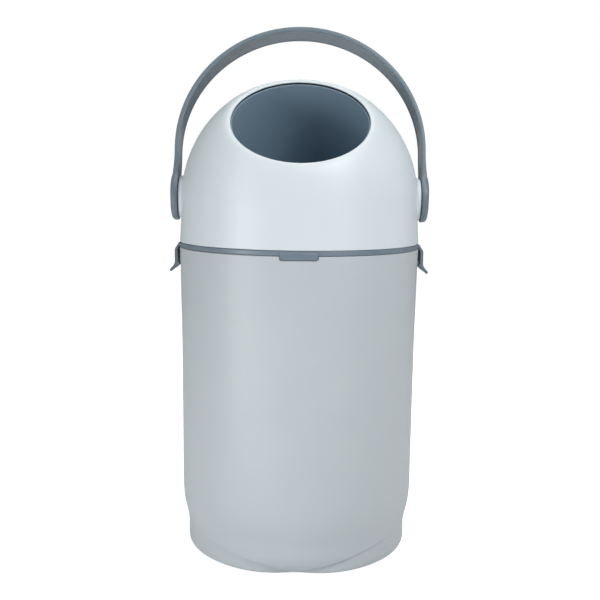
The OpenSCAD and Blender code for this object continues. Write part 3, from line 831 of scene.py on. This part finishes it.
# ------------------------------------------------------------------ clips
CLIP_SIDE = [(134.9, 350.3, 0.3), (135.5, 350.0, 0.5), (139.5, 343.6, 0.8), (139.95, 342.2, 0.8), (139.95, 328.4, 3.0), (140.6, 325.9, 2.0),
             (142.6, 322.9, 2.0), (145.0, 320.5, 0.8), (145.6, 319.2, 0.8), (145.4, 317.8, 0.7), (144.3, 317.2, 0.6),
             (143.2, 317.7, 0.8), (139.4, 321.0, 2.0), (137.9, 324.0, 2.0), (137.1, 328.0, 3.0), (137.1, 341.6, 1.0), (136.6, 343.2, 0.8),
             (134.9, 346.3, 0.6), (133.6, 346.9, 0.3)]
WEB = [(137.9, 342.0), (137.0, 342.4, 0.2), (136.5, 338.0, 0.5), (136.5, 328.6, 0.5), (134.8, 326.2, 0.4), (134.8, 324.2, 0.5), (136.6, 322.7, 0.6), (139.5, 320.6, 0.5), (139.3, 328.0)]


def clip(s):
    flat = lambda P: np.stack([s * P[..., 0], P[..., 2], P[..., 1]], -1)
    ob = prism("clip", fillet(CLIP_SIDE, 20), -CLIP_HALF, CLIP_HALF, 0.35, flat, 36)
    ob = union(ob, lathe("t", fillet([(0, -CLIP_HALF), (2.3, -CLIP_HALF, 0.3), (2.3, CLIP_HALF, 0.3), (0, CLIP_HALF)]), 48,
                         lambda P: to_y(P, s * 133.3, 348.6)), 36)
    for t in (-1, 1):
        y0, y1 = (CLIP_HALF - 2.3, CLIP_HALF - 0.1) if t > 0 else (-CLIP_HALF + 0.1, -CLIP_HALF + 2.3)
        ob = union(ob, prism("t", fillet(WEB, 20), y0, y1, 0.3, flat, 36), 36)
    ob = take(ob, lathe("t", [(0, -30), (1.05, -30), (1.05, 30), (0, 30)], 32, lambda P: to_y(P, s * 133.3, 348.6), keep=False), 36)
    return ob


for s, n in ((1, "right"), (-1, "left")):
    ob = clip(s)
    ob.name = "clip_moulded_" + n
    dress(ob, M_GREY, "clip_r" if s > 0 else "clip_l", "grey_plastic", "clip_" + n)
    pin = lathe("clip_pin_turned_" + n, fillet([(0, -21.0), (1.0, -21.0, 0.3), (1.0, 21.0, 0.3), (0, 21.0)]), 40,
                lambda P, s=s: to_y(P, s * 133.3, 348.6))
    dress(pin, M_STEEL, "head", "steel", "clip_pin_" + n)

# ------------------------------------------------------------------ small parts that keep their CAD shape
paint("rim_gasket", M_SEAL)
paint("drum_seal", M_SEAL)
paint("base_ring_screws", M_STEEL)
paint("trunnion_screws", M_STEEL)
for n in ("left", "right"):
    paint("trunnion_" + n, M_NYLON)
    paint("pivot_bush_" + n, M_NYLON)
    paint("thrust_washer_" + n, M_NYLON)


# ------------------------------------------------------------------ studio
BOUNCE = 0.17          # how strongly the pale floor lights the object from below


def floor():
    # a flat pale sweep, finely divided near the object
    r = np.concatenate([np.linspace(0, 0.4, 9), [0.6, 0.9, 1.4, 2.2, 3.5, 6, 12]]) / MM
    P = turned(np.stack([r, np.zeros_like(r)], -1), 96)
    me = bpy.data.meshes.new("studio_floor")
    me.from_pydata((P.reshape(-1, 3) * MM).tolist(), [], grid_faces(P.shape[0], P.shape[1], False, True).tolist())
    ob = bpy.data.objects.new("studio_floor", me)
    bpy.context.scene.collection.objects.link(ob)
    bm = bmesh.new()
    bm.from_mesh(me)
    bmesh.ops.remove_doubles(bm, verts=bm.verts, dist=1e-6)
    bmesh.ops.recalc_face_normals(bm, faces=bm.faces)
    if sum(f.normal.z for f in bm.faces) < 0:
        bmesh.ops.reverse_faces(bm, faces=bm.faces)
    bm.to_mesh(me)
    bm.free()
    m, nt, b, tc = base_material("pale_floor")
    n = noise(nt, tc, 3.0, 2.0)
    geo = nt.nodes.new("ShaderNodeVectorMath")
    geo.operation = "LENGTH"
    nt.links.new(tc.outputs["Object"], geo.inputs[0])
    # painted shade: the floor's own colour is darker near the object, which also lets less light bounce up onto the
    # lower bin
    near = spread(nt, geo.outputs["Value"], 0.0, 1.0, 0.16, 0.60)
    wob = nt.nodes.new("ShaderNodeMath")
    wob.operation = "MULTIPLY_ADD"
    nt.links.new(n.outputs["Fac"], wob.inputs[0])
    wob.inputs[1].default_value = 0.04
    nt.links.new(near, wob.inputs[2])
    mix = nt.nodes.new("ShaderNodeMix")
    mix.data_type = "RGBA"
    mix.inputs[6].default_value = (0.74, 0.74, 0.74, 1)
    mix.inputs[7].default_value = (0.90, 0.90, 0.90, 1)
    nt.links.new(wob.outputs[0], mix.inputs[0])
    nt.links.new(mix.outputs[2], b.inputs["Base Color"])
    b.inputs["Roughness"].default_value = 0.85
    b.inputs["Specular IOR Level"].default_value = 0.1
    # the sweep glows white to the camera, a painted glow; it glows a little less near the object, a painted shade round
    # the base
    glow = spread(nt, geo.outputs["Value"], 0.84 - BOUNCE, 1.0 - BOUNCE, 0.10, 0.75)
    ray = nt.nodes.new("ShaderNodeLightPath")
    mul = nt.nodes.new("ShaderNodeMath")
    mul.operation = "MULTIPLY_ADD"
    nt.links.new(glow, mul.inputs[0])
    nt.links.new(ray.outputs["Is Camera Ray"], mul.inputs[1])
    mul.inputs[2].default_value = BOUNCE
    b.inputs["Emission Color"].default_value = (1, 1, 1, 1)
    nt.links.new(mul.outputs[0], b.inputs["Emission Strength"])
    me.materials.append(m)
    return ob


floor()

world = bpy.data.worlds.new("studio")
bpy.context.scene.world = world
world.use_nodes = True
wt = world.node_tree
wt.nodes.clear()
wo = wt.nodes.new("ShaderNodeOutputWorld")
lit = wt.nodes.new("ShaderNodeBackground")
lit.inputs["Color"].default_value = (0.93, 0.97, 1.0, 1)
lit.inputs["Strength"].default_value = 0.02
seen = wt.nodes.new("ShaderNodeBackground")
seen.inputs["Color"].default_value = (1, 1, 1, 1)
seen.inputs["Strength"].default_value = 1.0
lp = wt.nodes.new("ShaderNodeLightPath")
ms = wt.nodes.new("ShaderNodeMixShader")
wt.links.new(lp.outputs["Is Camera Ray"], ms.inputs[0])
wt.links.new(lit.outputs[0], ms.inputs[1])
wt.links.new(seen.outputs[0], ms.inputs[2])
wt.links.new(ms.outputs[0], wo.inputs["Surface"])

# soft boxes: name, azimuth (0 is the camera's side, + to the right), elevation, distance, width, height, power
BOXES = [
    ("side_left", -55, 15, 1.7, 0.55, 1.3, 6.2),
    ("front_right", 40, 15, 1.7, 0.55, 1.3, 3.6),
    ("side_right_far", 100, 15, 1.7, 0.55, 1.3, 1.3),
    ("low_left", -50, -6, 1.7, 0.55, 0.5, 5.5),
    ("high_left", -50, 42, 1.7, 0.7, 0.7, 0.2),
    ("high_right", 35, 42, 1.7, 0.7, 0.7, 12.4),
    ("high_right_far", 50, 42, 1.7, 0.7, 0.7, 2.5),
    ("high_side", 85, 42, 1.7, 0.7, 0.7, 0.5),
    ("top", 0, 88, 1.5, 1.2, 1.2, 10.8),
    ("back", 180, 25, 1.7, 0.6, 1.2, 7.0),
    ("floor_left", -36, 5, 0.62, 0.45, 0.12, 0.40, (0, 0, 0.05)),
]


def box_light(name, az, el, dist, w, h, power, target=(0, 0, 0.3)):
    l = bpy.data.lights.new(name, "AREA")
    l.shape = "RECTANGLE"
    l.size, l.size_y, l.energy = w, h, power
    l.color = (1.0, 1.0, 1.0)
    ob = bpy.data.objects.new(name, l)
    bpy.context.scene.collection.objects.link(ob)
    a, e = math.radians(az), math.radians(el)
    d = Vector((math.sin(a) * math.cos(e), -math.cos(a) * math.cos(e), math.sin(e)))
    ob.location = Vector(target) + d * dist
    ob.rotation_mode = "QUATERNION"
    ob.rotation_quaternion = d.to_track_quat("Z", "Y")
    ob.visible_camera = False
    return ob


LIGHTS = [box_light(*b) for b in BOXES]

# ------------------------------------------------------------------ camera
pitch, pan, roll = math.radians(7.40), math.radians(0.08), math.radians(0.64)
fw = Vector((math.sin(pan) * math.cos(pitch), math.cos(pan) * math.cos(pitch), -math.sin(pitch)))
right = Vector((math.cos(pan), -math.sin(pan), 0))
up = right.cross(fw)
r2 = math.cos(roll) * right + math.sin(roll) * up
u2 = -math.sin(roll) * right + math.cos(roll) * up
cam = bpy.data.cameras.new("camera")
cam.lens, cam.sensor_width, cam.sensor_fit = 63.0, 36.0, "AUTO"
cam.clip_start, cam.clip_end = 0.05, 40
co = bpy.data.objects.new("camera", cam)
bpy.context.scene.collection.objects.link(co)
co.matrix_world = Matrix(((r2.x, u2.x, -fw.x, 0.0), (r2.y, u2.y, -fw.y, -1.196), (r2.z, u2.z, -fw.z, 0.4393), (0, 0, 0, 1)))
bpy.context.scene.camera = co
bpy.context.scene.view_settings.view_transform = "Standard"
bpy.context.scene.view_settings.look = "None"

bpy.context.view_layer.update()
